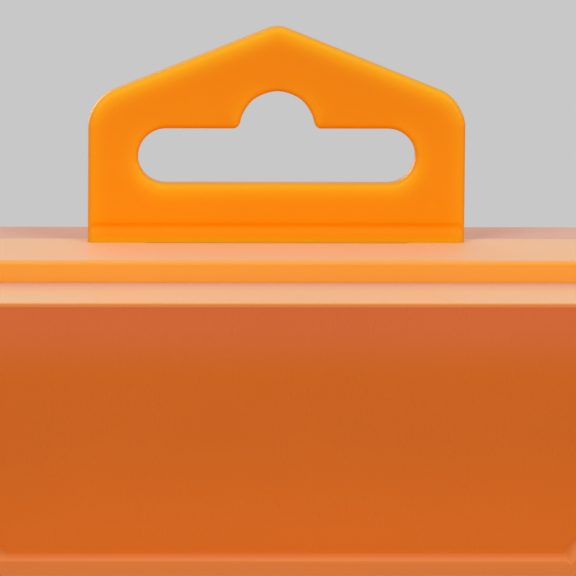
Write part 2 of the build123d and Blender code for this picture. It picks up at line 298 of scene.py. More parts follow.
@dataclass(frozen=True)
class SteppedPolypropylene(MouldedPolypropylene):
    """Plastic with painted light in front of a step, such as the tray's rim, and painted shade behind it.
    """

    step_y: float = 9.5             # mm, where the bright part ends and the deep part starts
    fade: float = 0.4               # mm, how far the change reaches on each side of the step

    def painted_light_share(
        self, tree: bpy.types.NodeTree, place: bpy.types.NodeSocket,
    ) -> bpy.types.NodeSocket:
        """Fades from the painted light in front of the step to the painted shade behind it.

        Args:
            tree: The material's tree.
            place: Object coordinates in millimetres.

        Returns:
            1 in front of the step, and 0 behind it.
        """
        return fade_along(tree, place, "Y", self.step_y + self.fade, self.step_y - self.fade)


@dataclass(frozen=True)
class LidPolypropylene(MouldedPolypropylene):
    """The lid's plastic: painted light makes its side walls bright, and painted shade makes its front pane
    deep.
    """

    half_width: float = 55.5        # mm, sizes of the lid's outline, seen from the front
    half_height: float = 85.5
    middle_z: float = 88.0
    corner: float = 5.5
    edge_start: float = 0.0         # mm inside the outline, where the bright colour starts to fade
    edge_end: float = 0.2           # and where it has faded
    creep: float = 0.05             # share of the painted light that creeps on into the pane
    creep_reach: float = 9.0        # mm
    parting_y: float = -7.0         # mm, the parting edge, where less painted light is laid on
    parting_reach: float = 6.0      # mm
    parting_loss: float = 0.85      # share of the painted light that is left out at the parting edge
    shade: str = "ce5e00"           # painted shade right beside the parting edge, under the tray's rim
    shade_reach: float = 2.6        # mm

    def base_colour(self, tree: bpy.types.NodeTree, place: bpy.types.NodeSocket) -> bpy.types.NodeSocket:
        """Paints shade on the shoulder beside the parting edge.

        Args:
            tree: The material's tree.
            place: Object coordinates in millimetres.

        Returns:
            The colour, before the melt's clouds.
        """
        return add_node(tree, "ShaderNodeMix", {"data_type": "RGBA"}, {
            "Factor": fade_along(tree, place, "Y", self.parting_y - self.shade_reach, self.parting_y),
            MIX_A: super().base_colour(tree, place), MIX_B: linear(self.shade),
        }).outputs[MIXED]

    def painted_light_share(
        self, tree: bpy.types.NodeTree, place: bpy.types.NodeSocket,
    ) -> bpy.types.NodeSocket:
        """Fades from painted light on the side walls to painted shade in the pane, by the distance from
        the outline.

        Args:
            tree: The material's tree.
            place: Object coordinates in millimetres.

        Returns:
            1 on the side walls, and 0 well inside the pane.
        """
        flat = add_node(tree, "ShaderNodeVectorMath", {"operation": "MULTIPLY_ADD"}, {
            0: place, 1: (1, 0, 1), 2: (0, 0, -self.middle_z),
        }).outputs[0]
        folded = add_node(tree, "ShaderNodeVectorMath", {"operation": "ABSOLUTE"}, {0: flat}).outputs[0]
        past = add_node(tree, "ShaderNodeVectorMath", {"operation": "SUBTRACT"}, {
            0: folded, 1: (self.half_width - self.corner, 0, self.half_height - self.corner),
        }).outputs[0]
        outside = add_node(tree, "ShaderNodeVectorMath", {"operation": "MAXIMUM"}, {
            0: past, 1: (0, 0, 0),
        }).outputs[0]
        round_part = add_node(tree, "ShaderNodeVectorMath", {"operation": "LENGTH"}, {0: outside})
        sides = add_node(tree, "ShaderNodeSeparateXYZ", None, {0: past})
        larger = add_node(tree, "ShaderNodeMath", {"operation": "MAXIMUM"}, {
            0: sides.outputs["X"], 1: sides.outputs["Z"],
        }).outputs[0]
        straight_part = add_node(tree, "ShaderNodeMath", {"operation": "MINIMUM"}, {0: larger, 1: 0.0})
        total = add_node(tree, "ShaderNodeMath", {"operation": "ADD"}, {
            0: round_part.outputs["Value"], 1: straight_part.outputs[0],
        }).outputs[0]
        inside = add_node(tree, "ShaderNodeMath", {"operation": "SUBTRACT"}, {0: self.corner, 1: total})
        wall = add_node(tree, "ShaderNodeMapRange", {"interpolation_type": "SMOOTHSTEP"}, {
            "Value": inside.outputs[0], "From Min": self.edge_end, "From Max": self.edge_start,
        }).outputs["Result"]
        pane = add_node(tree, "ShaderNodeMapRange", {"interpolation_type": "SMOOTHSTEP"}, {
            "Value": inside.outputs[0], "From Min": self.creep_reach, "From Max": 0.0,
            "To Max": self.creep,
        }).outputs["Result"]
        # Less painted light towards the parting edge, where the tray's rim shades the lid.
        depth = add_node(tree, "ShaderNodeSeparateXYZ", None, {0: place}).outputs["Y"]
        kept = add_node(tree, "ShaderNodeMapRange", None, {
            "Value": depth, "From Min": self.parting_y, "From Max": self.parting_y - self.parting_reach,
            "To Min": 1 - self.parting_loss, "To Max": 1.0,
        }).outputs["Result"]
        dimmed = add_node(tree, "ShaderNodeMath", {"operation": "MULTIPLY"}, {0: wall, 1: kept}).outputs[0]
        return add_node(tree, "ShaderNodeMath", {"operation": "MAXIMUM"}, {0: dimmed, 1: pane}).outputs[0]


@dataclass(frozen=True)
class HeaderPolypropylene(LidPolypropylene):
    """The header recess's pane, with painted light: paler under the lid's top wall, and warmer towards its
    foot.
    """

    paler: str = "d4652c"           # painted light: colour that the top wall's scattered light gives the pane
    warmer: str = "d96500"          # painted light: colour that the light coming up off the lip gives it
    paler_start: float = 164.5      # mm, heights between which the pane turns paler
    paler_end: float = 171.5
    warmer_start: float = 160.0     # mm, heights between which it turns warmer
    warmer_end: float = 146.0

    def base_colour(self, tree: bpy.types.NodeTree, place: bpy.types.NodeSocket) -> bpy.types.NodeSocket:
        """Paints light on the pane near its top and near its foot.

        Args:
            tree: The material's tree.
            place: Object coordinates in millimetres.

        Returns:
            The colour, before the melt's clouds.
        """
        colour = super().base_colour(tree, place)
        for tint, start, end in (
            (self.paler, self.paler_start, self.paler_end),
            (self.warmer, self.warmer_start, self.warmer_end),
        ):
            colour = add_node(tree, "ShaderNodeMix", {"data_type": "RGBA"}, {
                "Factor": fade_along(tree, place, "Z", start, end), MIX_A: colour, MIX_B: linear(tint),
            }).outputs[MIXED]
        return colour


@dataclass(frozen=True)
class TabPolypropylene(MouldedPolypropylene):
    """The hang tab's plastic: thin and lit from behind, with painted light that makes its rounded edges
    shine yellow.
    """

    edge: str = "ffb010"            # painted light along the rounded edges
    foot: str = "eca40c"            # painted shade in the corner where the tab meets the case
    foot_z: float = 176.0           # mm, height where the tab leaves the case
    foot_reach: float = 1.4         # mm above it that the shaded corner fades across
    peak_z: float = 201.0           # mm, height of the tab's peak

    def base_colour(self, tree: bpy.types.NodeTree, place: bpy.types.NodeSocket) -> bpy.types.NodeSocket:
        """Goes from the bright colour at the foot to the deep one at the peak, with painted light along
        the edges and painted shade at the foot.

        Args:
            tree: The material's tree.
            place: Object coordinates in millimetres.

        Returns:
            The colour, before the melt's clouds.
        """
        face = add_node(tree, "ShaderNodeMix", {"data_type": "RGBA"}, {
            "Factor": fade_along(tree, place, "Z", self.foot_z, self.peak_z),
            MIX_A: linear(self.bright), MIX_B: linear(self.deep),
        })
        painted_edge_light = add_node(tree, "ShaderNodeAttribute", {"attribute_name": HangTab.EDGE_LIGHT})
        lit = add_node(tree, "ShaderNodeMix", {"data_type": "RGBA"}, {
            "Factor": painted_edge_light.outputs["Fac"], MIX_A: face.outputs[MIXED], MIX_B: linear(self.edge),
        })
        # Painted shade in the corner at the tab's foot.
        return add_node(tree, "ShaderNodeMix", {"data_type": "RGBA"}, {
            "Factor": fade_along(tree, place, "Z", self.foot_z + self.foot_reach, self.foot_z),
            MIX_A: lit.outputs[MIXED], MIX_B: linear(self.foot),
        }).outputs[MIXED]


@dataclass(frozen=True)
class DrawnSteelWire:
    """Bright wire, with the fine lengthwise lines that the drawing die leaves."""

    name: str = "drawn_steel_wire"
    colour: str = "b9bcc2"
    roughness: float = 0.26
    glossier: float = 0.06          # how far the roughness drops along some lines
    duller: float = 0.10            # and how far it rises along others
    line_width: float = 0.09        # mm, drawn coarser than the real lines so that they show
    line_shape: float = 0.02        # their width as a share of their length
    line_depth: float = 0.003       # mm

    def build(self) -> bpy.types.Material:
        """Makes the material, with lines that run along the pin.

        Returns:
            The finished material.
        """
        material, tree = new_material(self.name)
        coordinates = add_node(tree, "ShaderNodeTexCoord")
        along = add_node(tree, "ShaderNodeVectorMath", {"operation": "MULTIPLY"}, {
            0: coordinates.outputs["Object"], 1: (1 / MM, 1 / MM, self.line_shape / MM),
        })
        lines = add_node(tree, "ShaderNodeTexNoise", None, {
            "Vector": along.outputs[0], "Scale": 1 / self.line_width, "Detail": 2.0,
        })
        gloss = add_node(tree, "ShaderNodeMapRange", None, {
            "Value": lines.outputs["Fac"], "From Min": 0.3, "From Max": 0.7,
            "To Min": self.roughness - self.glossier, "To Max": self.roughness + self.duller,
        })
        relief = add_node(tree, "ShaderNodeBump", None, {
            "Height": lines.outputs["Fac"], "Strength": 0.6, "Distance": self.line_depth * MM,
        })
        shader = add_node(tree, "ShaderNodeBsdfPrincipled", None, {
            "Base Color": linear(self.colour), "Metallic": 1.0,
            "Roughness": gloss.outputs["Result"], "Normal": relief.outputs["Normal"],
        })
        add_node(tree, "ShaderNodeOutputMaterial", None, {"Surface": shader.outputs[0]})
        return material


def place_piece(
    shape: bmesh.types.BMesh,
    name: str,
    body: Body,
    materials: Sequence[bpy.types.Material],
    replaced: Iterable[str] = (),
    sharp: float = 32.0,
) -> bpy.types.Object:
    """Turns a finished bmesh into a piece of the case.

    Args:
        shape: The shape, in metres and in place. It is freed here.
        name: Name of the piece.
        body: Body that it rides on.
        materials: Its materials, by the faces' material numbers.
        replaced: CAD nodes that it stands for.
        sharp: Edges that turn by more degrees than this stay crisp.

    Returns:
        The piece.
    """
    bmesh.ops.recalc_face_normals(shape, faces=shape.faces)
    for face in shape.faces:
        face.smooth = True
    for edge in shape.edges:
        edge.smooth = edge.calc_face_angle(math.pi) < math.radians(sharp)
    mesh = bpy.data.meshes.new(name)
    shape.to_mesh(mesh)
    shape.free()
    for material in materials:
        mesh.materials.append(material)
    piece = bpy.data.objects.new(name, mesh)
    bpy.context.scene.collection.objects.link(piece)
    weighted = piece.modifiers.new("flat_faces_stay_flat", "WEIGHTED_NORMAL")
    weighted.keep_sharp = True
    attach(piece, body.value)
    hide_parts(*replaced)
    LOG.info("%s: %d faces on %s", name, len(mesh.polygons), body.value)
    return piece


def merged_copy(node: str) -> bmesh.types.BMesh:
    """Copies a CAD node's loose triangles into one closed shape with whole flat faces.

    Args:
        node: Name of the node.

    Returns:
        The shape, welded and with its flat faces joined.
    """
    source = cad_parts[node].data
    shape = bmesh.new()
    corners = [shape.verts.new(corner.co) for corner in source.vertices]
    for polygon in source.polygons:
        shape.faces.new([corners[index] for index in polygon.vertices])
    bmesh.ops.remove_doubles(shape, verts=shape.verts, dist=WELD)
    bmesh.ops.dissolve_degenerate(shape, edges=shape.edges, dist=WELD)
    bmesh.ops.recalc_face_normals(shape, faces=shape.faces)
    bmesh.ops.dissolve_limit(
        shape, angle_limit=FLAT, verts=shape.verts, edges=shape.edges,
        use_dissolve_boundaries=False, delimit={"NORMAL"},
    )
    return shape


def has_room(edge: bmesh.types.BMEdge, width: float, past: float = 0.02) -> bool:
    """Tells whether the faces beside an edge leave it the room that a round takes.

    Args:
        edge: The edge.
        width: Room that it needs on each face, in metres.
        past: Share of the edge's length, past each end, where a corner still counts.

    Returns:
        False if another corner of those faces is nearer to the edge than the width.
    """
    start, end = (vertex.co for vertex in edge.verts)
    for corner in {vertex for face in edge.link_faces for vertex in face.verts} - set(edge.verts):
        foot, share = intersect_point_line(corner.co, start, end)
        if -past < share < 1 + past and (corner.co - foot).length < width:
            return False
    return True


def break_edges(
    shape: bmesh.types.BMesh,
    width: float,
    least_length: float = LEAST_EDGE,
    least_angle: float = 40.0,
    wanted: Callable[[bmesh.types.BMEdge], bool] | None = None,
    room: float = 3.0,
    segments: int = 2,
    inner: bool = False,
) -> None:
    """Rounds the straight outer edges a little, as every moulded edge is, so that they catch light.

    Args:
        shape: The shape, changed in place.
        width: Width of the round, in metres.
        least_length: Shorter edges are left alone, in metres.
        least_angle: Edges that turn by fewer degrees are left alone.
        wanted: Optional further test of each edge.
        room: Edges with less than this many widths of flat face beside them are left alone.
        segments: Number of faces across the round.
        inner: Rounds inner corners too.
    """
    crowded = {
        vertex for edge in shape.edges if edge.calc_length() < room * width for vertex in edge.verts
    }
    sharp = [
        edge for edge in shape.edges
        if edge.is_manifold
        and (inner or edge.is_convex)
        and edge.calc_face_angle(0.0) > math.radians(least_angle)
        and edge.calc_length() > least_length
        and crowded.isdisjoint(edge.verts)
        and has_room(edge, room * width)
        and (wanted is None or wanted(edge))
    ]
    bmesh.ops.bevel(
        shape, geom=sharp, offset=width, offset_type="OFFSET", segments=segments, profile=0.5,
        affect="EDGES", clamp_overlap=False, material=-1, loop_slide=True,
    )


def extruded_outline(points: Sequence[Vector], run: Vector) -> bmesh.types.BMesh:
    """Extrudes one flat outline into a closed solid.

    Args:
        points: Corners of the outline, in order.
        run: Direction and length of the extrusion.

    Returns:
        The solid.
    """
    shape = bmesh.new()
    face = shape.faces.new([shape.verts.new(point) for point in points])
    grown = bmesh.ops.extrude_face_region(shape, geom=[face])
    moved = [item for item in grown["geom"] if isinstance(item, bmesh.types.BMVert)]
    bmesh.ops.translate(shape, verts=moved, vec=run)
    bmesh.ops.recalc_face_normals(shape, faces=shape.faces)
    return shape


def cut_plane(
    shape: bmesh.types.BMesh, place: Sequence[float], normal: Sequence[float], clear: bool = False,
) -> list[bmesh.types.BMEdge]:
    """Cuts every face of a shape along a plane.

    Args:
        shape: The shape, changed in place.
        place: A point on the plane.
        normal: Direction that the plane faces.
        clear: Deletes what lies on the side that the plane faces.

    Returns:
        The edges that lie on the plane.
    """
    cut = bmesh.ops.bisect_plane(
        shape, geom=shape.verts[:] + shape.edges[:] + shape.faces[:], dist=ON_PLANE,
        plane_co=place, plane_no=normal, clear_outer=clear,
    )
    return [item for item in cut["geom_cut"] if isinstance(item, bmesh.types.BMEdge)]


def append_shape(target: bmesh.types.BMesh, extra: bmesh.types.BMesh) -> None:
    """Adds one shape's faces to another, and frees the shape that was added.

    Args:
        target: Shape that grows.
        extra: Shape that is added.
    """
    holder = bpy.data.meshes.new("holder")
    extra.to_mesh(holder)
    extra.free()
    target.from_mesh(holder)
    bpy.data.meshes.remove(holder)


@dataclass
class HangTab:
    """House-shaped plate with a euro slot, on a split foot that snaps through the tray's top wall.

    Lengths are in millimetres, and heights are above the top of the case.
    """

    width: float = 43.5
    shoulder: float = 16.49         # height of the corners where the roof starts
    peak: float = 25.25             # height of the roof's sharp peak, under its round
    shoulder_radius: float = 4.5
    peak_radius: float = 2.8
    edge_radius: float = 0.6        # round of the plate's front and back edges
    slot_length: float = 32.0
    slot_height: float = 6.45
    slot_middle: float = 10.05      # height of the slot's middle line
    bump_radius: float = 4.34
    bump_blend: float = 0.8         # radius of the corners where the bump meets the slot
    bump_arcs: int = 4              # rounded corners that the bump is made of
    radius_share: float = 0.998     # share of its radius that an arc gets, so that no two arcs touch
    crease_foot: float = 1.1        # heights where the fold crease starts, is deepest and ends
    crease_height: float = 1.75
    crease_top: float = 2.55
    crease_depth: float = 0.24
    crease_steps: int = 5           # cuts across each flank of the crease
    barb: float = 0.9               # how far the barbs stand out past the plate
    leg_tip: float = 0.65           # thickness of a leg at its tip
    slit: float = 0.9               # width of the slit between the legs
    slit_top: float = 1.2           # how far below the case's top the slit ends
    wall: float = 2.6               # thickness of the tray's wall
    foot_width: float = 30.0
    foot_drop: float = 4.5          # how far the legs reach below the wall
    foot_round: float = 0.12        # round of the foot's edges
    foot_least_edge: float = 0.5    # shorter edges of the foot stay sharp
    spare: float = 2.0              # how far the plate is drawn below the case's top, then cut off
    arc_steps: int = 36             # steps in a half turn
    least_steps: int = 4            # fewest steps in a rounded corner
    light_pitch: float = 0.6        # grid that the painted edge light fades across
    light_reach: float = 1.3        # how far in from an edge the painted light reaches
    side_light: float = 0.35        # share of the painted light at an edge that faces sideways

    # Attribute that holds the painted edge light.
    EDGE_LIGHT = "edge_light"

    def __post_init__(self) -> None:
        """Reads the plate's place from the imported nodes, in metres."""
        low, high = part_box("hang_tab")
        tray_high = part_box("rear_tray")[1]
        self.foot_z = tray_high.z
        self.front_y = low.y + self.barb * MM
        self.back_y = high.y - self.barb * MM
        self.middle_y = (low.y + high.y) / 2

    @property
    def foot_front(self) -> Vector:
        """Middle of the plate's front lower edge."""
        return Vector((0.0, self.front_y, self.foot_z))

    @property
    def thickness(self) -> float:
        """Thickness of the plate, in metres."""
        return self.back_y - self.front_y

    def rounded_outline(
        self,
        shape: bmesh.types.BMesh,
        corners: Sequence[tuple[float, float, float]],
        depth: float,
    ) -> None:
        """Draws one flat closed outline, with each corner rounded by its own radius.

        Args:
            shape: Shape that gets the outline's edges.
            corners: Across, up from the case's top, and radius, all in millimetres.
            depth: Place along Y, in metres.
        """
        points = [Vector((across * MM, depth, self.foot_z + up * MM)) for across, up, _ in corners]
        vertices = [shape.verts.new(point) for point in points]
        shape.faces.new(vertices)
        count = len(points)
        for number, vertex in enumerate(vertices):
            radius = corners[number][2] * MM
            if radius == 0:
                continue
            before = (points[number - 1] - points[number]).normalized()
            after = (points[(number + 1) % count] - points[number]).normalized()
            turn = math.pi - before.angle(after)
            bmesh.ops.bevel(
                shape, geom=[vertex], offset=radius * math.tan(turn / 2), offset_type="OFFSET",
                segments=max(self.least_steps, round(self.arc_steps * turn / math.pi)), profile=0.5,
                affect="VERTICES", clamp_overlap=False, material=-1,
            )
        bmesh.ops.delete(shape, geom=shape.faces[:], context="FACES_ONLY")

    def bump_corners(self, top: float) -> list[tuple[float, float, float]]:
        """Lists the corners that make the slot's round bump once they are rounded.

        Args:
            top: Height of the slot's upper edge above the case, in millimetres.

        Returns:
            Across, up and radius of each corner, from right to left.
        """
        start = math.asin(self.bump_blend / (self.bump_radius + self.bump_blend))
        foot = self.bump_radius / math.cos(start)
        step = (math.pi - 2 * start) / self.bump_arcs
        reach = self.bump_radius / math.cos(step / 2)
        radius = self.radius_share * self.bump_radius
        turns = [start + step * (number + 0.5) for number in range(self.bump_arcs)]
        arcs = [(reach * math.cos(turn), top + reach * math.sin(turn), radius) for turn in turns]
        return [(foot, top, self.bump_blend), *arcs, (-foot, top, self.bump_blend)]

    def plate(self) -> bmesh.types.BMesh:
        """Models the plate, with rounded edges inside and out and a fold crease on each face.

        Returns:
            The plate.
        """
        half = self.width / 2
        top = self.slot_middle + self.slot_height / 2
        bottom = self.slot_middle - self.slot_height / 2
        end = self.slot_length / 2
        end_radius = self.radius_share * self.slot_height / 2
        house = [
            (-half, -self.spare, 0.0),
            (half, -self.spare, 0.0),
            (half, self.shoulder, self.shoulder_radius),
            (0.0, self.peak, self.peak_radius),
            (-half, self.shoulder, self.shoulder_radius),
        ]
        hole = [
            (-end, bottom, end_radius),
            (end, bottom, end_radius),
            (end, top, end_radius),
            *self.bump_corners(top),
            (-end, top, end_radius),
        ]
        shape = bmesh.new()
        self.rounded_outline(shape, house, self.back_y)
        self.rounded_outline(shape, hole, self.back_y)
        bmesh.ops.remove_doubles(shape, verts=shape.verts, dist=WELD / 2)
        bmesh.ops.triangle_fill(shape, edges=shape.edges, use_beauty=True)
        bmesh.ops.dissolve_limit(
            shape, angle_limit=FLAT, verts=shape.verts,
            edges=[edge for edge in shape.edges if not edge.is_boundary],
        )
        grown = bmesh.ops.extrude_face_region(shape, geom=shape.faces[:])
        moved = [item for item in grown["geom"] if isinstance(item, bmesh.types.BMVert)]
        bmesh.ops.translate(shape, verts=moved, vec=(0, -self.thickness, 0))
        bmesh.ops.recalc_face_normals(shape, faces=shape.faces)
        nearly_square = math.radians(80)
        border = [
            edge for edge in shape.edges
            if edge.calc_face_angle(0.0) > nearly_square
            and abs(edge.verts[0].co.y - edge.verts[1].co.y) < WELD
        ]
        bmesh.ops.bevel(
            shape, geom=border, offset=self.edge_radius * MM, offset_type="OFFSET", segments=4,
            profile=0.5, affect="EDGES", clamp_overlap=False, material=-1,
        )
        self.trim_foot(shape)
        self.fold_crease(shape)
        self.light_edges(shape)
        return shape

    def trim_foot(self, shape: bmesh.types.BMesh) -> None:
        """Cuts the plate off level with the case's top, where the foot takes over.

        Args:
            shape: The plate.
        """
        rim = cut_plane(shape, (0, 0, self.foot_z), (0, 0, -1), clear=True)
        bmesh.ops.holes_fill(shape, edges=rim)

    def light_edges(self, shape: bmesh.types.BMesh) -> None:
        """Stores how much painted light each vertex gets: most below the edges that face up.

        Args:
            shape: The plate, which gets a fine grid first so that the painted light can fade across it.
        """
        columns = int(self.width / self.light_pitch)
        rows = int(self.peak / self.light_pitch)
        for column in range(1, columns):
            cut_plane(shape, ((column / columns - 0.5) * self.width * MM, 0, 0), (1, 0, 0))
        for row in range(1, rows):
            cut_plane(shape, (0, 0, self.foot_z + row * self.light_pitch * MM), (0, 0, 1))
        leaning = 0.2               # faces with more of their normal along Y aren't the outline's walls
        walls = [
            face for face in shape.faces
            if abs(face.normal.y) < leaning and face.calc_center_median().z > self.foot_z + WELD
        ]
        tree = KDTree(len(walls))
        for number, wall in enumerate(walls):
            middle = wall.calc_center_median()
            tree.insert((middle.x, 0, middle.z), number)
        tree.balance()
        light = shape.verts.layers.float.new(self.EDGE_LIGHT)
        for vertex in shape.verts:
            _, number, away = tree.find((vertex.co.x, 0, vertex.co.z))
            normal = walls[number].normal
            facing = max(normal.z, 0.0) + self.side_light * abs(normal.x)
            vertex[light] = min(facing, 1.0) * math.exp(-((away / (self.light_reach * MM)) ** 2))

    def fold_crease(self, shape: bmesh.types.BMesh) -> None:
        """Presses a shallow crease across both faces, a little above the case.

        Args:
            shape: The plate.
        """
        below = (self.crease_foot, self.crease_height)
        above = (self.crease_top, self.crease_height)
        for outer, inner in (below, above):
            for step in range(self.crease_steps):
                height = outer + (inner - outer) * step / self.crease_steps
                cut_plane(shape, (0, 0, self.foot_z + height * MM), (0, 0, 1))
        for vertex in shape.verts:
            height = (vertex.co.z - self.foot_z) / MM
            outer, inner = above if height > self.crease_height else below
            share = min(max((height - outer) / (inner - outer), 0.0), 1.0)
            depth = self.crease_depth * MM * (1 - math.cos(math.pi * share)) / 2
            if abs(vertex.co.y - self.front_y) < WELD:
                vertex.co.y += depth
            elif abs(vertex.co.y - self.back_y) < WELD:
                vertex.co.y -= depth

    def snap_foot(self) -> bmesh.types.BMesh:
        """Models the foot: two legs with barbs, split up the middle so that they can spring.

        Returns:
            The foot.
        """
        under = self.foot_z - self.wall * MM
        tip = under - self.foot_drop * MM
        top = self.foot_z - self.slit_top * MM
        half = self.thickness / 2
        run = Vector((self.foot_width * MM, 0, 0))
        start = -self.foot_width * MM / 2
        foot = extruded_outline([
            Vector((start, self.middle_y + side * half, level))
            for side, level in ((-1, self.foot_z), (1, self.foot_z), (1, top), (-1, top))
        ], run)
        for side in (-1, 1):
            slit_edge = side * self.slit * MM / 2
            leg = [
                (slit_edge, top),
                (side * half, top),
                (side * half, under),
                (side * (half + self.barb * MM), under),
                (slit_edge + side * self.leg_tip * MM, tip),
                (slit_edge, tip),
            ]
            append_shape(foot, extruded_outline([
                Vector((start, self.middle_y + across, level)) for across, level in leg
            ], run))
        break_edges(foot, self.foot_round * MM, self.foot_least_edge * MM)
        return foot

    def build(self, plastic: bpy.types.Material) -> bpy.types.Object:
        """Models and dresses the tab.

        Args:
            plastic: The tab's plastic.

        Returns:
            The tab, standing for its CAD node.
        """
        shape = self.plate()
        append_shape(shape, self.snap_foot())
        return place_piece(
            shape, "hang_tab_moulding", Body.TRAY, [plastic], ["hang_tab"], sharp=38.0,
        )


@dataclass
class RearTray:
    """Deep rear half: rim band, tub, hinge knuckles, latch ridges and guide ribs."""

    edge_round: float = 0.1         # mm

    def build(self, plastic: bpy.types.Material) -> bpy.types.Object:
        """Models and dresses the tray.

        Args:
            plastic: The tray's plastic.

        Returns:
            The tray, standing for its CAD node.
        """
        shape = merged_copy("rear_tray")
        break_edges(shape, self.edge_round * MM)
        return place_piece(shape, "rear_tray_moulding", Body.TRAY, [plastic], ["rear_tray"])


@dataclass
class FrontLid:
    """Shallow front half, with a polished header recess in its textured face."""

    header_depth: float = 0.8       # mm, from the lid's face to the recess's floor
    header_slack: float = 0.05      # mm past the floor where an edge still belongs to the recess
    lip_round: float = 0.45         # mm, soft round of the slope's edges
    lip_least_edge: float = 1.0     # mm, shorter edges of the slope stay sharp
    edge_round: float = 0.1         # mm, round of every other outer edge
    facing: float = 0.99            # share of its normal along Y, from which a face looks forward
    slope_facing: tuple[float, float] = (0.5, 0.9)      # the same share on the slope's faces
    lip_facing: float = 0.4         # least share on both faces beside an edge of the slope

    def __post_init__(self) -> None:
        """Reads the places of the lid's face and of the recess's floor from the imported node."""
        self.front_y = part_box("front_lid")[0].y
        self.floor_y = self.front_y + self.header_depth * MM

    def on_slope(self, edge: bmesh.types.BMEdge) -> bool:
        """Tells the edges of the slope that runs round the header recess from all others.

        Args:
            edge: An edge of the lid.

        Returns:
            True if it is one of the slope's edges.
        """
        return all(abs(face.normal.y) > self.lip_facing for face in edge.link_faces) and all(
            vertex.co.y < self.floor_y + self.header_slack * MM for vertex in edge.verts
        )

    def build(
        self,
        textured: bpy.types.Material,
        polished: bpy.types.Material,
        lip: bpy.types.Material,
    ) -> bpy.types.Object:
        """Models and dresses the lid.

        Args:
            textured: Plastic of the lid's outside, its walls and its inside.
            polished: Plastic of the header recess's floor.
            lip: Plastic of the slope round the header recess, with its painted light line.

        Returns:
            The lid, standing for its CAD node.
        """
        shape = merged_copy("front_lid")
        gentle, steep = self.slope_facing
        for face in shape.faces:
            middle_y = face.calc_center_median().y
            forward = abs(face.normal.y)
            if abs(middle_y - self.floor_y) < WELD and forward > self.facing:
                face.material_index = LidFace.POLISHED.value
            elif self.front_y + WELD < middle_y < self.floor_y - WELD and gentle < forward < steep:
                face.material_index = LidFace.LIP.value
        break_edges(
            shape, self.lip_round * MM, self.lip_least_edge * MM, wanted=self.on_slope, room=1.2,
            segments=4, least_angle=20.0, inner=True,
        )
        break_edges(shape, self.edge_round * MM)
        return place_piece(
            shape, "front_lid_moulding", Body.LID, [textured, polished, lip], ["front_lid"],
        )


@dataclass
class SnapLatch:
    """One latch: a barrel on its pin, a thumb plate with grip grooves, and the bead that snaps."""

    level: Level
    edge_round: float = 0.12        # mm

    def build(self, plastic: bpy.types.Material) -> bpy.types.Object:
        """Models and dresses the latch.

        Args:
            plastic: The latch's plastic.

        Returns:
            The latch, standing for its CAD node.
        """
        node = f"latch_{self.level.value}"
        body = Body(f"{self.level.value}_latch")
        shape = merged_copy(node)
        break_edges(shape, self.edge_round * MM)
        return place_piece(shape, f"{node}_moulding", body, [plastic], [node])


@dataclass
class WirePin:
    """One length of wire, with both ends chamfered where they were cut."""

    node: str
    body: Body
    sides: int = 40
    cut: float = 0.2                # mm, chamfer left by the cutter

    def build(self, steel: bpy.types.Material) -> bpy.types.Object:
        """Models and dresses the pin.

        Args:
            steel: The wire's finish.

        Returns:
            The pin, standing for its CAD node.
        """
        low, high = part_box(self.node)
        middle = (low + high) / 2
        radius = (high.x - low.x) / 2
        shape = bmesh.new()
        bmesh.ops.create_cone(
            shape, cap_ends=True, cap_tris=False, segments=self.sides, radius1=radius,
            radius2=radius, depth=high.z - low.z, matrix=Matrix.Translation(middle),
        )
        nearly_square = math.radians(60)
        ends = [edge for edge in shape.edges if edge.calc_face_angle(0.0) > nearly_square]
        bmesh.ops.bevel(
            shape, geom=ends, offset=self.cut * MM, offset_type="OFFSET", segments=2, profile=0.5,
            affect="EDGES", clamp_overlap=False, material=-1,
        )
        return place_piece(
            shape, f"{self.node}_wire", self.body, [steel], [self.node], sharp=50.0,
        )


@dataclass
class Inserts:
    """The two column walls and the removable dividers between them."""

    edge_round: float = 0.07        # mm, because the webs between the grooves are only 0.3 mm thick

    def build(self, plastic: bpy.types.Material) -> list[bpy.types.Object]:
        """Models and dresses every insert.

        Args:
            plastic: The inserts' plastic.

        Returns:
            The inserts, each standing for its CAD node.
        """
        names = sorted(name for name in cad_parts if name.startswith(("column_wall", "divider")))
        pieces = []
        for name in names:
            shape = merged_copy(name)
            break_edges(shape, self.edge_round * MM)
            pieces.append(
                place_piece(shape, f"{name}_sheet", Body.TRAY, [plastic], [name])
            )
        return pieces


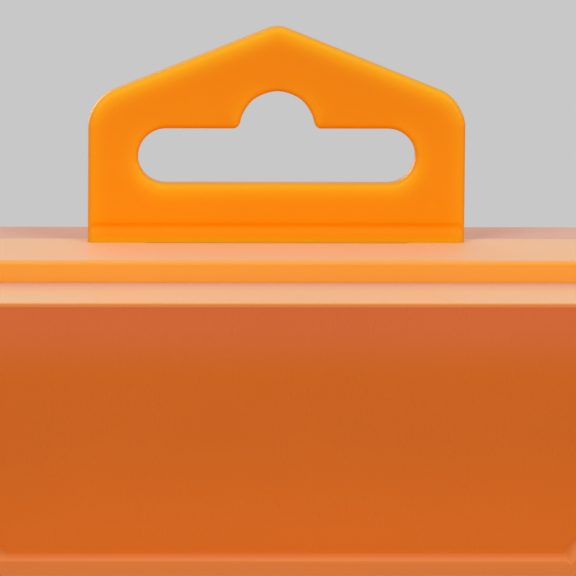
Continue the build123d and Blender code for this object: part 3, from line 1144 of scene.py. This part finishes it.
@dataclass(frozen=True)
class Viewpoint:
    """Where the photograph was taken from, and what it frames."""

    azimuth: float = math.radians(-2.8)
    elevation: float = math.radians(9.5)
    roll: float = math.radians(0.5)
    distance: float = 0.9           # m, from the plane through the tab's foot
    frame_pixels: int = 576         # width and height of the photograph
    pixels_per_mm: float = 8.66     # at the tab's foot
    tab_foot_pixel: tuple[float, float] = (276.4, 243.0)        # from the upper left corner
    sensor: float = 36.0            # mm

    def build(self, tab_foot: Vector) -> bpy.types.Object:
        """Makes the camera so that the middle of the hang tab's foot falls on its pixel.

        Args:
            tab_foot: Middle of the front lower edge of the hang tab.

        Returns:
            The camera, set as the scene's own.
        """
        back = Vector((
            math.sin(self.azimuth) * math.cos(self.elevation),
            -math.cos(self.azimuth) * math.cos(self.elevation),
            math.sin(self.elevation),
        ))
        turn = (-back).to_track_quat("-Z", "Y") @ Euler((0, 0, self.roll)).to_quaternion()
        right = turn @ Vector((1, 0, 0))
        up = turn @ Vector((0, 1, 0))
        middle = self.frame_pixels / 2
        pixel = MM / self.pixels_per_mm
        target = (
            tab_foot
            + right * (middle - self.tab_foot_pixel[0]) * pixel
            - up * (middle - self.tab_foot_pixel[1]) * pixel
        )
        data = bpy.data.cameras.new("photo_camera")
        frame_width = self.frame_pixels * pixel
        data.sensor_width = self.sensor
        data.lens = self.sensor * self.distance / frame_width
        data.clip_start = 0.05
        data.clip_end = 50.0
        camera = bpy.data.objects.new("photo_camera", data)
        bpy.context.scene.collection.objects.link(camera)
        camera.rotation_mode = "QUATERNION"
        camera.rotation_quaternion = turn
        camera.location = target + back * self.distance
        bpy.context.scene.camera = camera
        return camera


@dataclass(frozen=True)
class Lamp:
    """A soft panel lamp."""

    name: str
    place: tuple[float, float, float]       # m
    size: tuple[float, float]               # m, width and height of the panel
    watts: float

    def hang(self, aim: Vector) -> None:
        """Hangs the lamp so that it faces a point.

        Args:
            aim: The point.
        """
        data = bpy.data.lights.new(self.name, "AREA")
        data.shape = "RECTANGLE"
        data.size, data.size_y = self.size
        data.energy = self.watts
        lamp = bpy.data.objects.new(self.name, data)
        bpy.context.scene.collection.objects.link(lamp)
        place = Vector(self.place)
        lamp.location = place
        lamp.rotation_euler = (aim - place).to_track_quat("-Z", "Y").to_euler()


@dataclass(frozen=True)
class Studio:
    """A pale floor that fades into a plain grey backdrop, under soft lamps."""

    backdrop: str = "c8c8c8"
    floor: str = "dedede"
    ambient: float = 0.50           # strength of the even light from all round
    floor_radius: float = 6.0       # m
    floor_sides: int = 96
    fade_start: float = 0.30        # m from the case, where the floor starts to fade
    fade_end: float = 0.75          # and from where only the backdrop's colour is seen
    lamps: tuple[Lamp, ...] = (
        Lamp("overhead", (0.0, 0.1, 1.5), (1.2, 1.0), 3.0),
        Lamp("front_left", (-0.9, -1.3, 0.9), (0.9, 0.9), 9.0),
        Lamp("front_right", (1.1, -1.2, 0.7), (0.9, 0.9), 7.0),
        Lamp("back", (-0.7, 1.5, 0.4), (0.9, 0.9), 4.0),
    )

    @staticmethod
    def shown_rays(tree: bpy.types.NodeTree) -> bpy.types.NodeSocket:
        """Tells the rays that see the backdrop's plain colour from those that only light the case.

        Args:
            tree: Tree of the world or of the floor's material.

        Returns:
            1 for camera, glossy and transmission rays, and 0 for the rest.
        """
        path = add_node(tree, "ShaderNodeLightPath")
        seen = path.outputs["Is Camera Ray"]
        for ray in ("Is Glossy Ray", "Is Transmission Ray"):
            seen = add_node(
                tree, "ShaderNodeMath", {"operation": "MAXIMUM"}, {0: seen, 1: path.outputs[ray]},
            ).outputs[0]
        return seen

    def world(self) -> None:
        """Lights the scene evenly, and shows the backdrop's grey to the camera and to gloss."""
        world = bpy.data.worlds.new("soft_room")
        world.use_nodes = True
        tree = world.node_tree
        tree.nodes.clear()
        room = add_node(tree, "ShaderNodeBackground", None,
                        {"Color": (1, 1, 1, 1), "Strength": self.ambient})
        shown = add_node(tree, "ShaderNodeBackground", None,
                         {"Color": linear(self.backdrop), "Strength": 1.0})
        mix = add_node(tree, "ShaderNodeMixShader", None,
                       {0: self.shown_rays(tree), 1: room.outputs[0], 2: shown.outputs[0]})
        add_node(tree, "ShaderNodeOutputWorld", None, {"Surface": mix.outputs[0]})
        bpy.context.scene.world = world

    def lay_floor(self) -> bpy.types.Object:
        """Makes the floor disc at the height that the case stands on.

        Returns:
            The floor.
        """
        mesh = bpy.data.meshes.new("floor")
        shape = bmesh.new()
        bmesh.ops.create_circle(
            shape, cap_ends=True, segments=self.floor_sides, radius=self.floor_radius,
        )
        shape.to_mesh(mesh)
        shape.free()
        floor = bpy.data.objects.new("floor", mesh)
        bpy.context.scene.collection.objects.link(floor)
        material, tree = new_material("pale_floor")
        place = add_node(tree, "ShaderNodeTexCoord")
        away = add_node(tree, "ShaderNodeVectorMath", {"operation": "LENGTH"},
                        {0: place.outputs["Object"]})
        fade = add_node(tree, "ShaderNodeMapRange", {"interpolation_type": "SMOOTHSTEP"},
                        {"Value": away.outputs["Value"], "From Min": self.fade_start,
                         "From Max": self.fade_end})
        share = add_node(tree, "ShaderNodeMath", {"operation": "MULTIPLY"},
                         {0: fade.outputs["Result"], 1: self.shown_rays(tree)})
        surface = add_node(tree, "ShaderNodeBsdfDiffuse", None, {"Color": linear(self.floor)})
        shown = add_node(tree, "ShaderNodeEmission", None,
                         {"Color": linear(self.backdrop), "Strength": 1.0})
        mix = add_node(tree, "ShaderNodeMixShader", None,
                       {0: share.outputs[0], 1: surface.outputs[0], 2: shown.outputs[0]})
        add_node(tree, "ShaderNodeOutputMaterial", None, {"Surface": mix.outputs[0]})
        mesh.materials.append(material)
        return floor

    def build(self) -> None:
        """Makes the world, the floor and the lamps, and sets the plain view transform."""
        self.world()
        self.lay_floor()
        for lamp in self.lamps:
            lamp.hang((CAD_LOW + CAD_HIGH) / 2)
        bpy.context.scene.view_settings.view_transform = "Standard"


def main() -> None:
    """Builds the studio, the camera and every piece of the case."""
    logging.basicConfig(level=logging.INFO, format="%(name)s: %(message)s")
    Studio().build()
    tab = HangTab()
    Viewpoint().build(tab.foot_front)
    rim_end = tab.back_y / MM + 0.3         # mm, just behind the tab
    lip_middle = CAD_LOW.y / MM + 0.5       # mm, past half way down the slope round the header recess
    # Satin skin: a pale bloom lies over the top. The rim's glow and the duller tub behind it are painted
    # light and shade.
    tray_plastic = SteppedPolypropylene(
        "tray_polypropylene", deep="e07a28", bright="fca628", haze=0.44, step_y=rim_end, fade=0.7,
    )
    # Spark-eroded skin: an even, fine grain that blurs every highlight. Its bright walls, deep pane and
    # the shade by its parting edge are painted light and shade.
    lid_plastic = LidPolypropylene(
        "lid_polypropylene_spark_textured", deep="dc6f06", bright="fca628", grain=Grain.SPARK,
    )
    # Polished pane: hardly any bloom; its deep red orange is painted shade of the dark inside of the case,
    # with painted light near its top and foot.
    header_plastic = HeaderPolypropylene(
        "lid_polypropylene_polished", deep="cf6104", bright="fca628", grain=Grain.POLISHED,
        roughness=0.26, specular=0.27, haze=0.08,
    )
    # The pane's lip: a bright line of painted light, where the light that runs inside the lid's face comes
    # out.
    lip_plastic = SteppedPolypropylene(
        "lid_polypropylene_lip_painted_light", deep="d96814", bright="eb8033", specular=0.35, haze=0.15,
        step_y=lip_middle, fade=0.3,
    )
    # Thin plate in full light: a strong yellow orange with little gloss, with painted light along its
    # edges and painted shade at its foot.
    tab_plastic = TabPolypropylene(
        "tab_polypropylene", deep="f38700", bright="fb9200", roughness=0.34,
        specular=0.13, haze=0.0, foot_z=tab.foot_z / MM, peak_z=CAD_HIGH.z / MM,
    )
    # Small satin mouldings that light gets into from all sides: one even, bright orange.
    latch_plastic = MouldedPolypropylene("latch_polypropylene", deep="fa981c", bright="fa981c")
    # Thin sheets: a paler orange, because the light meets less of the dye.
    insert_plastic = MouldedPolypropylene("insert_polypropylene", deep="f5a050", bright="f5a050")
    steel = DrawnSteelWire().build()
    RearTray().build(tray_plastic.build())
    tab.build(tab_plastic.build())
    FrontLid().build(lid_plastic.build(), header_plastic.build(), lip_plastic.build())
    latch_material = latch_plastic.build()
    for level in Level:
        SnapLatch(level).build(latch_material)
        WirePin(f"latch_pin_{level.value}", Body.LID).build(steel)
        WirePin(f"hinge_pin_{level.value}", Body.TRAY).build(steel)
    Inserts().build(insert_plastic.build())


if __name__ == "__main__":
    main()
